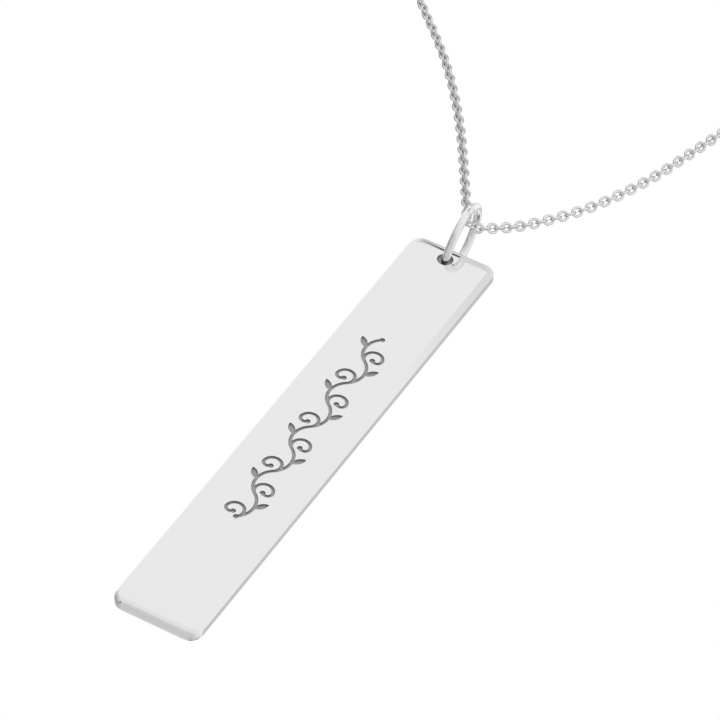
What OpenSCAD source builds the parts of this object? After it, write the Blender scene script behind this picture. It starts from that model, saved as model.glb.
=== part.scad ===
// Bar pendant on a fine cable chain, hanging as it is worn.
// Millimetres, +Z up, the bar's front faces -Y. The origin is the top of the loop, in the
// middle of the clasp, where the back of the neck carries it.

/* [Bar] */
// Width of the bar
bar_w = 8; // [7:0.5:12]
// Height of the bar
bar_l = 50; // [40:1:70]
// Thickness of the bar
bar_t = 1.2; // [1:0.1:1.6]
// Radius of the bar's corners, seen from the front
corner_r = 1.2; // [1:0.1:2.5]
// Width of the softened front edge, across the front
front_edge_w = 0.85; // [0.1:0.05:0.95]
// Depth of the softened front edge, through the thickness
front_edge_d = 0.5; // [0.1:0.05:0.55]
// Width of the softened back edge, across the back
back_edge_w = 0.45; // [0.1:0.05:0.6]
// Depth of the softened back edge, through the thickness
back_edge_d = 0.4; // [0.1:0.05:0.4]
// Diameter of the hole for the jump ring
hole_d = 1.4; // [1.3:0.05:2]
// Middle of the hole below the bar's top edge
hole_inset = 1.65; // [1.3:0.05:2]
// How far the bar's middle lies to the right of the hole
bar_shift = 0.3; // [0:0.05:0.4]

/* [Ornament] */
// Half waves in the engraved vine
vine_waves = 8; // [4:1:10]
// Height of one half wave, along the bar
wave_l = 3; // [2.6:0.1:3.4]
// How far the stem swings to each side
wave_h = 0.75; // [0.6:0.05:0.85]
// Width of the engraved strokes
stroke_w = 0.3; // [0.2:0.02:0.4]
// Depth of the engraving
engrave_d = 0.15; // [0.05:0.01:0.25]

/* [Jump ring] */
// Outer diameter of the jump ring
ring_od = 7.2; // [6:0.1:8]
// Diameter of its wire
ring_wire = 0.7; // [0.5:0.05:0.75]
// How far the chain turns the ring from square to the bar, in degrees
ring_turn = 5; // [0:1:10]
// How far the top of the ring leans to the left, in degrees
ring_lean = 3.5; // [0:0.5:5]

/* [Chain] */
// Width across the chain's links
chain_w = 0.94; // [0.8:0.02:1]

/* [Clasp] */
// Outer diameter of the clasp's ring
clasp_od = 5.5; // [4.5:0.1:6]
// Diameter of the clasp's wire
clasp_wire = 1.1; // [0.8:0.1:1.3]
// Outer diameter of the eye on each side of the clasp
eye_od = 1.7; // [1.5:0.1:1.8]
// Diameter of the eyes' wire
eye_wire = 0.4; // [0.3:0.05:0.45]

/* [Hidden] */

// Each half of the chain, from its lowest point under the jump ring up to the clasp:
// across, back and height above a level one loop's height under the clasp.
left_route = [
    [0, 0, -0.15], [-0.4, -0.05, -0.15], [-0.85, -0.05, 0.05], [-1.4, 0, 0.88], [-2.1, 0, 2.1],
    [-3, 0.1, 3.6], [-5.1, 0.3, 7.1], [-7.3, 0.45, 10.6], [-9.7, 0.55, 14], [-12.3, 0.7, 17.3],
    [-15.1, 0.9, 20.4], [-18.1, 1, 23.4], [-26, 1, 31.4], [-34, 1, 40.4], [-41, 1, 50],
    [-47, 1, 61], [-51.5, 1, 73], [-54.8, 1, 90], [-56, 0.9, 107], [-54.5, 0.7, 127],
    [-49, 0.5, 147], [-40, 0.3, 164.5], [-28.5, 0.2, 178], [-15, 0.1, 186], [-4.4, 0, 188]
];
right_route = [
    [0, 0, -0.15], [0.4, 0, -0.05], [0.75, 0.05, 0.28], [1.15, 0.2, 0.8], [2, 0.6, 1.95],
    [3.4, 1.1, 4.1], [5.8, 1.3, 7.7], [7.8, 1.2, 11.3], [9.4, 1.1, 15.2], [10.65, 1, 19.2],
    [12, 1, 24], [15.2, 1, 34], [19.5, 1, 46], [24.5, 1, 59], [30, 1, 73.5], [35.5, 1, 88],
    [40.5, 1, 103], [44.2, 1, 118], [46.2, 0.9, 132], [45.8, 0.7, 146], [42, 0.5, 160],
    [34.5, 0.3, 172.5], [24, 0.2, 182], [12, 0.1, 187], [4.4, 0, 188]
];

// How far apart the tube's rings lie, and how many sides it has
ring_step = 7.5;
tube_sides = 8;

// Air between the chain and the jump ring, and over the ring's wire in the bar's hole
chain_gap = 0.2;
hole_gap = 0.42;

// Where everything hangs, from the chain's lowest point downwards
loop_h = left_route[len(left_route) - 1][2];
chain_low_z = left_route[0][2] - loop_h;
ring_r = (ring_od - ring_wire) / 2;
ring_top_z = chain_low_z + chain_w / 2 + chain_gap + ring_wire / 2;
ring_low_z = ring_top_z - 2 * ring_r * cos(ring_lean);
hole_z = ring_low_z - hole_d / 2 + ring_wire / 2 + hole_gap;
bar_top_z = hole_z + hole_inset;
bar_mid_z = bar_top_z - bar_l / 2;

// Radius of the stem's arcs, and half the angle that each one turns through
wave_r = (pow(wave_l / 2, 2) + pow(wave_h, 2)) / (2 * wave_h);
wave_a = asin(wave_l / 2 / wave_r);

// The curl inside each half wave: a wide arc, then a tight one that ends in a berry
curl_r = 0.78;
curl_turn = 225;
tip_r = 0.42;
tip_turn = 150;
berry_r = 0.24;

// The leaf outside each half wave
leaf_l = 1.35;
leaf_w = 0.56;
leaf_a = 50;

silver = [0.86, 0.87, 0.88];

// A point on the smooth line through b and c, at t from 0 to 1, with a before and d after.
function curve_point(a, b, c, d, t) =
    (2 * b + (c - a) * t + (2 * a - 5 * b + 4 * c - d) * t * t
     + (3 * b - a - 3 * c + d) * t * t * t) / 2;

// The route's point number i, with one more beyond each end for the curve to aim at.
function route_point(route, i) =
    i < 0 ? 2 * route[0] - route[1]
    : i >= len(route) ? 2 * route[len(route) - 1] - route[len(route) - 2]
    : route[i];

// Points along the whole route, closer together where it bends tightly.
function smooth_route(route) = [
    for (i = [0 : len(route) - 2])
        let (steps = max(1, round(norm(route[i + 1] - route[i]) / ring_step)))
            for (k = [0 : steps - 1])
                curve_point(route_point(route, i - 1), route[i], route[i + 1],
                            route_point(route, i + 2), k / steps),
    route[len(route) - 1]
];

function unit(v) = v / norm(v);

// Which way the line runs at point i. It leaves the lowest point square to the jump ring,
// towards the given side, and meets the clasp level.
function heading(line, i, side) =
    i == 0 ? side * [cos(ring_turn), sin(ring_turn), 0]
    : i == len(line) - 1 ? [-side, 0, 0]
    : unit(line[i + 1] - line[i - 1]);

// The corners of the tube's cross-section at point i.
function ring_points(line, i, side, r) =
    let (along = heading(line, i, side),
         across = unit(cross([0, 1, 0], along)),
         up = cross(along, across))
    [for (k = [0 : tube_sides - 1])
        let (a = 360 * (k + 0.5) / tube_sides)
            line[i] + r * (cos(a) * across + sin(a) * up)];

// A tube along a route, as one closed solid.
module tube(route, side, r) {
    line = smooth_route(route);
    last = len(line) - 1;
    points = [for (i = [0 : last]) each ring_points(line, i, side, r)];
    walls = [
        for (i = [0 : last - 1], k = [0 : tube_sides - 1])
            let (a = i * tube_sides + k, b = i * tube_sides + (k + 1) % tube_sides)
                [a, a + tube_sides, b + tube_sides, b]
    ];
    near_end = [for (k = [0 : tube_sides - 1]) k];
    far_end = [for (k = [tube_sides - 1 : -1 : 0]) last * tube_sides + k];
    polyhedron(points = points, faces = concat(walls, [near_end, far_end]), convexity = 10);
}

// A round ring of wire, lying flat around the Z axis.
module wire_ring(outer_d, wire) {
    rotate_extrude($fn = 96)
        translate([(outer_d - wire) / 2, 0])
            circle(d = wire, $fn = 32);
}

// A slice of a disc from angle a, turning through t degrees.
module slice(a, t, reach) {
    parts = ceil(t / 60);
    polygon(concat([[0, 0]],
        [for (i = [0 : parts]) reach * [cos(a + t * i / parts), sin(a + t * i / parts)]]));
}

// An engraved line along an arc of radius r, from angle a through t degrees.
module arc_stroke(r, a, t) {
    intersection() {
        difference() {
            circle(r = r + stroke_w / 2, $fn = 64);
            circle(r = r - stroke_w / 2, $fn = 64);
        }
        slice(a, t, 3 * r);
    }
}

// A pointed leaf that starts at the origin and points along +X: two arcs that cross.
module leaf() {
    arc_r = (pow(leaf_l / 2, 2) + pow(leaf_w / 2, 2)) / leaf_w;
    translate([leaf_l / 2, 0])
        intersection() {
            translate([0, arc_r - leaf_w / 2])
                circle(r = arc_r, $fn = 64);
            translate([0, leaf_w / 2 - arc_r])
                circle(r = arc_r, $fn = 64);
        }
}

// One half wave of the vine, swinging to +X, from the origin up to [0, wave_l].
module half_wave() {
    translate([wave_h - wave_r, wave_l / 2])
        arc_stroke(wave_r, -wave_a, 2 * wave_a);
    // The curl leaves the stem along the stem's own line.
    curl_middle = curl_r * [-cos(wave_a), sin(wave_a)];
    curl_end = curl_turn - wave_a;
    tip_middle = curl_middle + (curl_r - tip_r) * [cos(curl_end), sin(curl_end)];
    tip_end = curl_end + tip_turn;
    translate(curl_middle)
        arc_stroke(curl_r, -wave_a, curl_turn);
    translate(tip_middle)
        arc_stroke(tip_r, curl_end, tip_turn);
    translate(tip_middle + tip_r * [cos(tip_end), sin(tip_end)])
        circle(r = berry_r, $fn = 32);
    translate([wave_h, wave_l / 2])
        rotate(leaf_a)
            leaf();
}

// The running vine, centred on the origin, along Y.
module vine() {
    for (i = [0 : vine_waves - 1])
        translate([0, (i - vine_waves / 2) * wave_l])
            mirror([i % 2, 0])
                half_wave();
    for (side = [-1, 1])
        translate([0, side * vine_waves / 2 * wave_l])
            circle(r = berry_r, $fn = 32);
}

// The two rims of a disc in section, w wide and d deep, on the front (side 1) or the back (side -1).
module soft_rims(side, w, d) {
    for (x = [-1, 1])
        translate([x * (corner_r - w), side * (bar_t / 2 - d)])
            scale([w, d])
                circle(r = 1, $fn = 40);
}

// One rounded corner of the bar, as a thick disc with soft rims.
module corner_disc() {
    rotate([90, 0, 0])
        rotate_extrude($fn = 48)
            intersection() {
                hull() {
                    soft_rims(1, front_edge_w, front_edge_d);
                    soft_rims(-1, back_edge_w, back_edge_d);
                }
                translate([0, -bar_t])
                    square([2 * corner_r, 2 * bar_t]);
            }
}

module bar() {
    color(silver)
        difference() {
            translate([bar_shift, 0, bar_mid_z])
                hull()
                    for (x = [-1, 1], z = [-1, 1])
                        translate([x * (bar_w / 2 - corner_r), 0, z * (bar_l / 2 - corner_r)])
                            corner_disc();
            translate([0, 0, hole_z])
                rotate([90, 0, 0])
                    cylinder(d = hole_d, h = 2 * bar_t, center = true, $fn = 48);
            translate([bar_shift, engrave_d - bar_t / 2, bar_mid_z])
                rotate([90, 0, 0])
                    linear_extrude(height = 2 * engrave_d)
                        vine();
        }
}

module jump_ring() {
    color(silver)
        translate([0, 0, ring_low_z])
            rotate([0, -ring_lean, ring_turn])
                translate([0, 0, ring_r])
                    rotate([0, 90, 0])
                        wire_ring(ring_od, ring_wire);
}

module chain_left() {
    color(silver)
        translate([0, 0, -loop_h])
            tube(left_route, -1, chain_w / 2);
}

module chain_right() {
    color(silver)
        translate([0, 0, -loop_h])
            tube(right_route, 1, chain_w / 2);
}

// A plain closed ring with an eye soldered to each side.
module clasp() {
    color(silver)
        rotate([90, 0, 0]) {
            wire_ring(clasp_od, clasp_wire);
            for (side = [-1, 1])
                translate([side * (clasp_od + eye_od - eye_wire) / 2, 0, 0])
                    wire_ring(eye_od, eye_wire);
        }
}

bar();
jump_ring();
chain_left();
chain_right();
clasp();
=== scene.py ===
"""The bar pendant's looks: polished silver plate, wire jump ring and a real cable chain.

Metres, in the CAD frame: +Z up, the bar's front faces -Y, the origin is the middle of the clasp.
"""

import math

import bpy
import numpy as np
from mathutils import Matrix, Vector


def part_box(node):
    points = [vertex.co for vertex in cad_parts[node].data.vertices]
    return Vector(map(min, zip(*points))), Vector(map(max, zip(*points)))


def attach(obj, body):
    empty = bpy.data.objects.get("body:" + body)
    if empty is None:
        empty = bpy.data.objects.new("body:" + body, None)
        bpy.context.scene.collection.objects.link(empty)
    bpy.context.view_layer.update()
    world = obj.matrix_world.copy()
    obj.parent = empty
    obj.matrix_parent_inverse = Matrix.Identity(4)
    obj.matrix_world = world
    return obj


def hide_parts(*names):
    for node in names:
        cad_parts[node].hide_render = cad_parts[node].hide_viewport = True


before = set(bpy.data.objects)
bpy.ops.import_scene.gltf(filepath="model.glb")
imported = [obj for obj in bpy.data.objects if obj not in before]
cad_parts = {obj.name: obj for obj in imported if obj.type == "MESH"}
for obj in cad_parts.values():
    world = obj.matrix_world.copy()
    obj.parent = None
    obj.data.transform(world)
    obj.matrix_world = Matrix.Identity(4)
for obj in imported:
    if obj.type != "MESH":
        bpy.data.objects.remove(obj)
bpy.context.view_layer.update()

MM = 0.001
# A quarter turn in radians
QUARTER = math.pi / 2

# The camera, fitted to the photograph: it looks up at the hanging bar from below its front.
# The picture's width and the focal length are in the picture's pixels.
IMAGE_PX = 720
FOCAL_PX = 5594
SENSOR_MM = 36
CAMERA_RIGHT = Vector((0.8688, -0.0694, 0.4902))
CAMERA_UP = Vector((-0.3887, -0.7090, 0.5885))
CAMERA_DISTANCE = 0.455
CAMERA_REACH = 50
# Where the bar's middle lies across and up from the lens axis
BAR_OFFSET = (-0.004076, -0.005842)

# Where the object is, from the frame
BAR_LOW, BAR_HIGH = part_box("bar")
BAR_MIDDLE = (BAR_LOW + BAR_HIGH) / 2

# Each half of the chain, from its lowest point up to the clasp, in millimetres:
# across, back and height above a level one loop's height under the clasp. The CAD source
# has the same points.
LOOP_HEIGHT = 188
LEFT_ROUTE = [
    (0, 0, -0.15), (-0.4, -0.05, -0.15), (-0.85, -0.05, 0.05), (-1.4, 0, 0.88), (-2.1, 0, 2.1),
    (-3, 0.1, 3.6), (-5.1, 0.3, 7.1), (-7.3, 0.45, 10.6), (-9.7, 0.55, 14), (-12.3, 0.7, 17.3),
    (-15.1, 0.9, 20.4), (-18.1, 1, 23.4), (-26, 1, 31.4), (-34, 1, 40.4), (-41, 1, 50),
    (-47, 1, 61), (-51.5, 1, 73), (-54.8, 1, 90), (-56, 0.9, 107), (-54.5, 0.7, 127),
    (-49, 0.5, 147), (-40, 0.3, 164.5), (-28.5, 0.2, 178), (-15, 0.1, 186), (-4.4, 0, 188),
]
RIGHT_ROUTE = [
    (0, 0, -0.15), (0.4, 0, -0.05), (0.75, 0.05, 0.28), (1.15, 0.2, 0.8), (2, 0.6, 1.95),
    (3.4, 1.1, 4.1), (5.8, 1.3, 7.7), (7.8, 1.2, 11.3), (9.4, 1.1, 15.2), (10.65, 1, 19.2),
    (12, 1, 24), (15.2, 1, 34), (19.5, 1, 46), (24.5, 1, 59), (30, 1, 73.5), (35.5, 1, 88),
    (40.5, 1, 103), (44.2, 1, 118), (46.2, 0.9, 132), (45.8, 0.7, 146), (42, 0.5, 160),
    (34.5, 0.3, 172.5), (24, 0.2, 182), (12, 0.1, 187), (4.4, 0, 188),
]
# How finely a route is smoothed, and the fewest steps between two of its points
ROUTE_STEP = 0.1 * MM
LEAST_STEPS = 4

# One link of the cable chain
LINK_LENGTH = 1.14 * MM
LINK_WIDTH = 0.96 * MM
LINK_WIRE = 0.24 * MM
LINK_PITCH = 0.70 * MM
# How many rings of points go round a link, and how many points round its wire
LINK_SIDES = 24
WIRE_SIDES = 10

# How far the middle of the link under the jump ring lies to the right of the lowest point, and
# how far the last link's middle lies past its route's end, round the wire of the clasp's eye
FIRST_LINK = 0.2 * MM
LAST_LINK = 0.2 * MM

# How each strand's even links are turned about the chain, how the last link is turned at the
# clasp's eye, and how far along the chain the twist from one to the other starts
LEFT_TURN = math.radians(110)
RIGHT_TURN = math.radians(41)
EYE_TURN = math.radians(90)
TWIST_START = 60 * MM

# The polish of the plate, and of the jump ring's, the clasp's and the links' wire
PLATE_COLOUR = (0.91, 0.91, 0.915)
PLATE_ROUGHNESS = 0.05
WIRE_COLOUR = (0.93, 0.93, 0.935)
WIRE_ROUGHNESS = 0.03

# Most of a noise texture's values lie between these two
NOISE_SPAN = (0.3, 0.7)
# The polish's faint clouds: the noise, how far they vary the roughness, and how pale they are
CLOUD_SCALE = 150.0
CLOUD_DETAIL = 3.0
CLOUD_GLOSS = (0.7, 1.4)
CLOUD_LEVEL = 0.98
# The fine grain of unpolished metal: the noise, and how far it varies the grey and the roughness
GRAIN_SCALE = 9000.0
GRAIN_DETAIL = 2.0
GRAIN_SHARE = (0.8, 1.2)

# The engraving: its reach to each side of the bar's middle, its depths behind the front
# face, and its dark matt metal
CUT_HALF_WIDTH = 2.2 * MM
CUT_HALF_HEIGHT = 12.7 * MM
CUT_START = 0.01 * MM
CUT_END = 0.3 * MM
CUT_COLOUR = 0.5
CUT_ROUGHNESS = 0.55

# The hole for the jump ring, straight under the origin: how far its middle is under the bar's
# top, how far from there the wall is left rough and painted darker as shade, how far inside the
# bar's faces that starts, and the painted shade's grey and the wall's roughness
HOLE_INSET = 1.65 * MM
HOLE_REACH = 0.76 * MM
HOLE_RIM = 0.06 * MM
HOLE_SHADE_GREY = 0.36
HOLE_ROUGHNESS = 0.3
HOLE = Vector((0, 0, BAR_HIGH.z - HOLE_INSET))

# How far down from the bar's top its polish varies, and how: the place across where each fade
# starts, the place where it is whole, and the roughness that it adds
EDGE_REACH = 1.0 * MM
EDGE_FADES = ((-0.8 * MM, -2.8 * MM, 0.25), (0.8 * MM, 1.1 * MM, 0.5))

# Painted shade on a link's wire, darker towards its rims: how far round that starts and ends,
# where 0 faces the eye and 1 is edge on, and the level it reaches
RIM_SHADE_SPAN = (0.15, 0.75)
RIM_SHADE_LEVEL = 0.32

# The studio round the object. The dome's brightness from straight down to straight up, as
# height and level. The walls' brightness by azimuth, 0 at the front and 90 on the right.
DOME = (
    (-1.0, 0.62), (-0.5, 0.64), (-0.33, 0.67), (0.0, 0.795), (0.2, 0.875), (0.66, 0.90), (0.9, 0.97),
    (0.97, 0.88), (1.0, 0.84),
)
WALLS = (
    (-180, 0.95), (-158, 0.9), (-135, 0.62), (-100, 0.62), (-60, 0.62), (-30, 0.82), (10, 0.82),
    (60, 0.84), (95, 0.84), (125, 0.80), (147, 0.6), (166, 0.6), (180, 0.95),
)
# The walls fade in from the first elevation of each row to the second, from below and above
WALL_FADES = ((-34, -4), (18, 2))
# Flags: azimuth, elevation, half width, half height and soft rim in degrees, and brightness
FLAGS = (
    (-41, -32, 4, 6, 4, 0.2),
    (-62, -41, 12, 5, 4, 0.45),
    (-78, -54, 10, 5, 6, 0.65),
    (-95, -8, 28, 33, 10, 0.68),
    (-125, -25, 20, 20, 8, 0.75),
    (166, -16, 11, 10, 6, 0.3),
    (152, 4, 9, 8, 6, 0.45),
    (150, -35, 15, 8, 8, 0.85),
    (-34, 53.5, 9, 6.5, 2.5, 0.02),
    (-85, 68, 35, 6, 4, 0.62),
    (-175, 55, 40, 7, 8, 0.75),
    (57, 52, 60, 10.4, 1.6, 0.83),
    (45, 68, 45, 5.6, 3, 0.8),
    (10, 82, 60, 5, 3, 0.95),
    (157, 40, 57, 6, 4, 0.66),
)

# One wide, dim soft box, high on the right: its azimuth, its elevation and its distance from
# the bar's middle, its size in metres and its power in watts
KEY_AZIMUTH = 60
KEY_ELEVATION = 68
KEY_DISTANCE = 1.5
KEY_SIZE = 0.9
KEY_POWER = 0.3

# The floor, so far down that a camera looking up at the object still stands above it
FLOOR_Z = -1.8
FLOOR_SIZE = 40
FLOOR_ROUGHNESS = 0.9
# How pale it is, from under the object out to its sides
FLOOR_SHADES = ((0.0, 0.62), (0.08, 0.64), (0.3, 0.80), (1.0, 0.92))


def smooth_route(route):
    """Points close together along the smooth line through the route, in metres."""
    points = np.array(route, float) * MM - np.array([0, 0, LOOP_HEIGHT * MM])
    ends = [2 * points[0] - points[1], *points, 2 * points[-1] - points[-2]]
    line = []
    for a, b, c, d in zip(ends, ends[1:], ends[2:], ends[3:]):
        steps = max(LEAST_STEPS, round(np.linalg.norm(c - b) / ROUTE_STEP))
        t = (np.arange(steps) / steps)[:, None]
        square = (2 * a - 5 * b + 4 * c - d) * t**2
        cube = (3 * b - a - 3 * c + d) * t**3
        line.append((2 * b + (c - a) * t + square + cube) / 2)
    line.append(points[-1:])
    return np.concatenate(line)


def point_at(line, along, distance):
    """The point at this distance along the line, whose points lie at the distances in along."""
    return np.array([np.interp(distance, along, column) for column in line.T])


def link_shape():
    """Points and faces of one link round the origin, its length along X and its width along Y."""
    bend = (LINK_WIDTH - LINK_WIRE) / 2
    straight = (LINK_LENGTH - LINK_WIDTH) / 2
    half = np.linspace(-QUARTER, QUARTER, LINK_SIDES // 2)
    outward = [(math.cos(a), math.sin(a), straight) for a in half]
    outward += [(-math.cos(a), -math.sin(a), -straight) for a in half]
    points = []
    for x, y, shift in outward:
        for k in range(WIRE_SIDES):
            a = 2 * math.pi * k / WIRE_SIDES
            reach = bend + LINK_WIRE / 2 * math.cos(a)
            points.append((shift + x * reach, y * reach, LINK_WIRE / 2 * math.sin(a)))
    faces = []
    for i in range(LINK_SIDES):
        here = i * WIRE_SIDES
        onward = (i + 1) % LINK_SIDES * WIRE_SIDES
        for k in range(WIRE_SIDES):
            after = (k + 1) % WIRE_SIDES
            faces.append((here + k, onward + k, onward + after, here + after))
    return np.array(points), np.array(faces)


def link_axes(run, angle):
    """A link's directions of length, width and thickness, turned by the angle about its run."""
    across = np.cross([0, 1, 0], run)
    across /= np.linalg.norm(across)
    back = np.cross(run, across)
    wide = math.cos(angle) * across + math.sin(angle) * back
    return np.array([run, wide, np.cross(run, wide)])


def mesh_piece(name, points, faces):
    """A smoothly shaded object of these points and faces."""
    mesh = bpy.data.meshes.new(name)
    mesh.from_pydata(points.tolist(), [], faces.tolist())
    mesh.shade_smooth()
    piece = bpy.data.objects.new(name, mesh)
    bpy.context.scene.collection.objects.link(piece)
    return piece


def chain_half(name, route, side, turn):
    """One half of the chain, of interlocked links, each turned a quarter from the last.

    The side is -1 for the left half and 1 for the right one, which has the link under the ring.
    """
    line = smooth_route(route)
    # The line runs on past both ends, so that the whole of the end links lies on it.
    before = line[0] - np.array([side * LINK_PITCH, 0, 0])
    beyond = line[-1] - np.array([side * (LAST_LINK + LINK_PITCH), 0, 0])
    line = np.vstack([before, line, beyond])
    steps = np.linalg.norm(np.diff(line, axis=0), axis=1)
    along = np.concatenate([[0], np.cumsum(steps)]) - LINK_PITCH
    first = side * FIRST_LINK
    last = along[-1] - LINK_PITCH
    count = round((last - first) / LINK_PITCH)
    pitch = (last - first) / count
    # The least twist that turns the last link as the clasp's eye needs it
    end_turn = EYE_TURN - count * QUARTER
    twist = (end_turn - turn + QUARTER) % math.pi - QUARTER
    shape, faces = link_shape()
    all_points, all_faces = [], []
    for k in range(0 if side > 0 else 1, count + 1):
        middle = first + k * pitch
        start = point_at(line, along, middle - pitch / 2)
        end = point_at(line, along, middle + pitch / 2)
        run = (end - start) / np.linalg.norm(end - start)
        share = np.clip((middle - TWIST_START) / (last - TWIST_START), 0, 1)
        angle = turn + twist * share * share * (3 - 2 * share) + k * QUARTER
        all_faces.append(faces + len(all_points) * len(shape))
        all_points.append((start + end) / 2 + shape @ link_axes(run, angle))
    return mesh_piece(name, np.concatenate(all_points), np.concatenate(all_faces))


def put(tree, value, socket):
    """Sets a socket to the value, or joins the value to it if that is a node's output."""
    if isinstance(value, bpy.types.NodeSocket):
        tree.links.new(value, socket)
    else:
        socket.default_value = value


def add(tree, kind, inputs):
    """A new node, its inputs named or numbered, each with a value or another node's output."""
    node = tree.nodes.new(kind)
    for key, value in inputs.items():
        put(tree, value, node.inputs[key])
    return node


def maths(tree, operation, a, b=0.0):
    """The result of one operation on two numbers or outputs."""
    node = add(tree, "ShaderNodeMath", {0: a, 1: b})
    node.operation = operation
    return node.outputs[0]


def slab(tree, value, low, high):
    """1 where the value lies between low and high, else 0."""
    above = maths(tree, "GREATER_THAN", value, low)
    return maths(tree, "MULTIPLY", above, maths(tree, "LESS_THAN", value, high))


def fade(tree, value, span, levels, smooth=False):
    """Goes from the first level to the second while the value crosses the span."""
    node = add(
        tree,
        "ShaderNodeMapRange",
        {
            "Value": value,
            "From Min": span[0],
            "From Max": span[1],
            "To Min": levels[0],
            "To Max": levels[1],
        },
    )
    if smooth:
        node.interpolation_type = "SMOOTHSTEP"
    return node.outputs["Result"]


def near(tree, value, middle, reach, soft):
    """1 where the value, in radians, is within reach of the middle, falling softly to 0 outside.

    The middle, the reach and the soft rim are in degrees.
    """
    off = maths(tree, "ABSOLUTE", maths(tree, "SUBTRACT", value, math.radians(middle)))
    span = (math.radians(reach), math.radians(reach + soft))
    return fade(tree, off, span, (1.0, 0.0), smooth=True)


def ramp(tree, value, stops):
    """A smooth grey level from pairs of place and level, the places from 0 to 1."""
    node = add(tree, "ShaderNodeValToRGB", {"Fac": value})
    marks = node.color_ramp.elements
    node.color_ramp.interpolation = "EASE"
    while len(marks) < len(stops):
        marks.new(0.5)
    for mark, (place, level) in zip(marks, stops):
        mark.position = place
        mark.color = (level, level, level, 1)
    return node.outputs["Color"]


def blend(tree, share, first, second):
    """The first colour where the share is 0, and the second where it is 1."""
    node = tree.nodes.new("ShaderNodeMix")
    node.data_type = "RGBA"
    for key, value in (("Factor", share), ("A", first), ("B", second)):
        put(tree, value, node.inputs[key])
    return node.outputs["Result"]


def coordinates(tree):
    """The place on the piece across, back and up, in the CAD frame's metres."""
    place = tree.nodes.new("ShaderNodeTexCoord").outputs["Object"]
    return add(tree, "ShaderNodeSeparateXYZ", {"Vector": place}).outputs


def noise(tree, scale, detail):
    """Soft random levels over the piece."""
    place = tree.nodes.new("ShaderNodeTexCoord").outputs["Object"]
    node = add(tree, "ShaderNodeTexNoise", {"Vector": place, "Scale": scale, "Detail": detail})
    return node.outputs["Fac"]


def silver(name, colour, roughness):
    """Polished silver, whose colour and gloss vary in faint clouds."""
    material = bpy.data.materials.new(name)
    material.use_nodes = True
    tree = material.node_tree
    shader = tree.nodes["Principled BSDF"]
    shader.inputs["Metallic"].default_value = 1.0
    clouds = noise(tree, CLOUD_SCALE, CLOUD_DETAIL)
    gloss = fade(tree, clouds, NOISE_SPAN, [roughness * share for share in CLOUD_GLOSS])
    darker = [level * CLOUD_LEVEL for level in colour]
    tint = blend(tree, clouds, (*colour, 1), (*darker, 1))
    tree.links.new(gloss, shader.inputs["Roughness"])
    tree.links.new(tint, shader.inputs["Base Color"])
    return material


def dull(tree, inside, grey, roughness):
    """Makes the metal dark, rough and finely grained where inside is 1."""
    shader = tree.nodes["Principled BSDF"]
    grain = noise(tree, GRAIN_SCALE, GRAIN_DETAIL)
    for name, plain in (("Base Color", grey), ("Roughness", roughness)):
        before = shader.inputs[name].links[0].from_socket
        grainy = fade(tree, grain, NOISE_SPAN, [plain * share for share in GRAIN_SHARE])
        tree.links.new(blend(tree, inside, before, grainy), shader.inputs[name])


def dull_engraving(material):
    """Dulls the cut ornament, from its floor to just behind the front face."""
    tree = material.node_tree
    x, y, z = coordinates(tree)
    wide = slab(tree, x, BAR_MIDDLE.x - CUT_HALF_WIDTH, BAR_MIDDLE.x + CUT_HALF_WIDTH)
    deep = slab(tree, y, BAR_LOW.y + CUT_START, BAR_LOW.y + CUT_END)
    tall = slab(tree, z, BAR_MIDDLE.z - CUT_HALF_HEIGHT, BAR_MIDDLE.z + CUT_HALF_HEIGHT)
    inside = maths(tree, "MULTIPLY", maths(tree, "MULTIPLY", wide, deep), tall)
    dull(tree, inside, CUT_COLOUR, CUT_ROUGHNESS)


def dull_and_shade_hole(material):
    """Roughens the wall of the hole that the jump ring goes through, and paints shade on it."""
    tree = material.node_tree
    x, y, z = coordinates(tree)
    offsets = [maths(tree, "SUBTRACT", x, HOLE.x), maths(tree, "SUBTRACT", z, HOLE.z)]
    squares = [maths(tree, "MULTIPLY", offset, offset) for offset in offsets]
    distance = maths(tree, "SQRT", maths(tree, "ADD", *squares))
    bore = maths(tree, "LESS_THAN", distance, HOLE_REACH)
    deep = slab(tree, y, BAR_LOW.y + HOLE_RIM, BAR_HIGH.y - HOLE_RIM)
    dull(tree, maths(tree, "MULTIPLY", bore, deep), HOLE_SHADE_GREY, HOLE_ROUGHNESS)


def soften_edge(material):
    """Leaves the bar's top edge less finely polished towards its ends than beside the ring."""
    tree = material.node_tree
    shader = tree.nodes["Principled BSDF"]
    rough = shader.inputs["Roughness"].links[0].from_socket
    x, _, z = coordinates(tree)
    top = maths(tree, "GREATER_THAN", z, BAR_HIGH.z - EDGE_REACH)
    for start, end, rougher in EDGE_FADES:
        more = fade(tree, x, (start, end), (0.0, rougher))
        rough = maths(tree, "ADD", rough, maths(tree, "MULTIPLY", top, more))
    tree.links.new(rough, shader.inputs["Roughness"])


def paint_rim_shade(material):
    """Paints shade on the wire, darker towards its rims where it turns from the eye, as between the
    links.
    """
    tree = material.node_tree
    shader = tree.nodes["Principled BSDF"]
    before = shader.inputs["Base Color"].links[0].from_socket
    facing = tree.nodes.new("ShaderNodeLayerWeight").outputs["Facing"]
    darker = add(tree, "ShaderNodeVectorMath", {0: before})
    darker.operation = "SCALE"
    tree.links.new(fade(tree, facing, RIM_SHADE_SPAN, (1.0, RIM_SHADE_LEVEL)), darker.inputs["Scale"])
    tree.links.new(darker.outputs["Vector"], shader.inputs["Base Color"])


def paint(piece, material):
    """Gives the piece this material alone."""
    piece.data.materials.clear()
    piece.data.materials.append(material)


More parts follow.
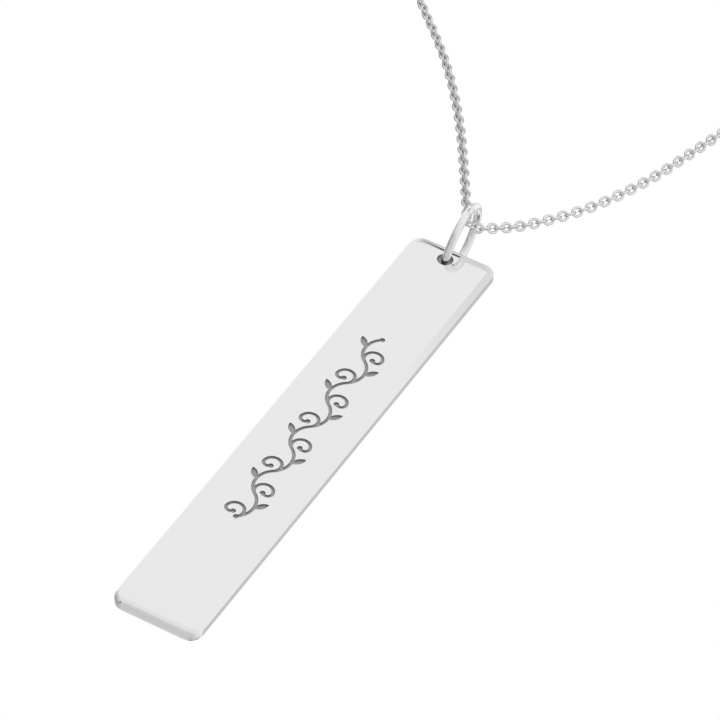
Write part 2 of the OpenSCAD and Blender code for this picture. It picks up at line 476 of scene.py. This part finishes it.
def make_camera():
    """The camera at the photograph's place, with the bar's middle beside its lens axis."""
    data = bpy.data.cameras.new("camera")
    data.sensor_width = SENSOR_MM
    data.lens = SENSOR_MM * FOCAL_PX / IMAGE_PX
    data.clip_end = CAMERA_REACH
    camera = bpy.data.objects.new("camera", data)
    bpy.context.scene.collection.objects.link(camera)
    back = CAMERA_RIGHT.cross(CAMERA_UP).normalized()
    right = CAMERA_RIGHT.normalized()
    up = back.cross(right)
    place = BAR_MIDDLE + back * CAMERA_DISTANCE - right * BAR_OFFSET[0] - up * BAR_OFFSET[1]
    turn = Matrix((right, up, back)).transposed().to_4x4()
    camera.matrix_world = Matrix.Translation(place) @ turn
    bpy.context.scene.camera = camera


def bare_studio(tree, azimuth, elevation, height):
    """The brightness of the dome and walls, before any flag stands in front of them."""
    rise = maths(tree, "MULTIPLY", maths(tree, "ADD", height, 1.0), 0.5)
    dome = ramp(tree, rise, [((up + 1) / 2, level) for up, level in DOME])
    circle = maths(tree, "ADD", maths(tree, "DIVIDE", azimuth, 2 * math.pi), 0.5)
    walls = ramp(tree, circle, [(turn / 360 + 0.5, level) for turn, level in WALLS])
    share = 1.0
    for gone, whole in WALL_FADES:
        span = (math.radians(gone), math.radians(whole))
        rim = fade(tree, elevation, span, (0.0, 1.0), smooth=True)
        share = maths(tree, "MULTIPLY", rim, share)
    mix = add(tree, "ShaderNodeMix", {"Factor": share, "A": dome, "B": walls})
    return mix.outputs["Result"]


def make_world():
    """White to the camera, and a bright dome with dark flags to everything it lights."""
    world = bpy.data.worlds.new("studio")
    bpy.context.scene.world = world
    world.use_nodes = True
    tree = world.node_tree
    tree.nodes.clear()
    place = tree.nodes.new("ShaderNodeTexCoord").outputs["Generated"]
    x, y, z = add(tree, "ShaderNodeSeparateXYZ", {"Vector": place}).outputs
    azimuth = maths(tree, "ARCTAN2", x, maths(tree, "MULTIPLY", y, -1.0))
    elevation = maths(tree, "ARCSINE", z)
    light = bare_studio(tree, azimuth, elevation, z)
    for middle, height, wide, tall, soft, level in FLAGS:
        across = near(tree, azimuth, middle, wide, soft)
        mask = maths(tree, "MULTIPLY", across, near(tree, elevation, height, tall, soft))
        shade = maths(tree, "SUBTRACT", 1.0, maths(tree, "MULTIPLY", mask, 1.0 - level))
        light = maths(tree, "MULTIPLY", light, shade)
    studio = add(tree, "ShaderNodeBackground", {"Color": light}).outputs[0]
    white = add(tree, "ShaderNodeBackground", {"Color": (1, 1, 1, 1)}).outputs[0]
    seen = tree.nodes.new("ShaderNodeLightPath").outputs["Is Camera Ray"]
    both = add(tree, "ShaderNodeMixShader", {0: seen, 1: studio, 2: white})
    add(tree, "ShaderNodeOutputWorld", {"Surface": both.outputs[0]})


def make_key_light():
    """The soft box, aimed at the middle of the bar."""
    data = bpy.data.lights.new("key", "AREA")
    data.size = KEY_SIZE
    data.energy = KEY_POWER
    lamp = bpy.data.objects.new("key", data)
    around = math.radians(KEY_AZIMUTH)
    rise = math.radians(KEY_ELEVATION)
    level = math.cos(rise)
    away = Vector((math.sin(around) * level, -math.cos(around) * level, math.sin(rise)))
    lamp.location = BAR_MIDDLE + away * KEY_DISTANCE
    lamp.rotation_euler = away.to_track_quat("Z", "Y").to_euler()
    bpy.context.scene.collection.objects.link(lamp)


def make_floor():
    """A plain pale floor, far below the hanging object."""
    bpy.ops.mesh.primitive_plane_add(size=FLOOR_SIZE, location=(0, 0, FLOOR_Z))
    floor = bpy.context.object
    floor.name = "floor"
    material = bpy.data.materials.new("pale_floor")
    material.use_nodes = True
    tree = material.node_tree
    shader = tree.nodes["Principled BSDF"]
    shader.inputs["Roughness"].default_value = FLOOR_ROUGHNESS
    place = tree.nodes.new("ShaderNodeTexCoord").outputs["Object"]
    far = add(tree, "ShaderNodeVectorMath", {0: place})
    far.operation = "LENGTH"
    outward = maths(tree, "DIVIDE", far.outputs["Value"], FLOOR_SIZE / 2)
    tree.links.new(ramp(tree, outward, FLOOR_SHADES), shader.inputs["Base Color"])
    floor.data.materials.append(material)
    floor.visible_glossy = False


make_camera()
make_world()
make_key_light()
make_floor()
bpy.context.scene.view_settings.view_transform = "Standard"

polished = silver("polished_silver", PLATE_COLOUR, PLATE_ROUGHNESS)
dull_engraving(polished)
# Painted shade on the hole's wall, which is also left rough
dull_and_shade_hole(polished)
soften_edge(polished)
wire = silver("silver_wire", WIRE_COLOUR, WIRE_ROUGHNESS)
links = silver("silver_chain", WIRE_COLOUR, WIRE_ROUGHNESS)
# Painted shade on the links' wire, darker towards its rims
paint_rim_shade(links)

left = chain_half("cable_left", LEFT_ROUTE, -1, LEFT_TURN)
right = chain_half("cable_right", RIGHT_ROUTE, 1, RIGHT_TURN)
for piece, node in ((left, "chain_left"), (right, "chain_right")):
    paint(piece, links)
    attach(piece, "chain")
    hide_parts(node)
paint(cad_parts["bar"], polished)
paint(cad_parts["jump_ring"], wire)
paint(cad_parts["clasp"], wire)
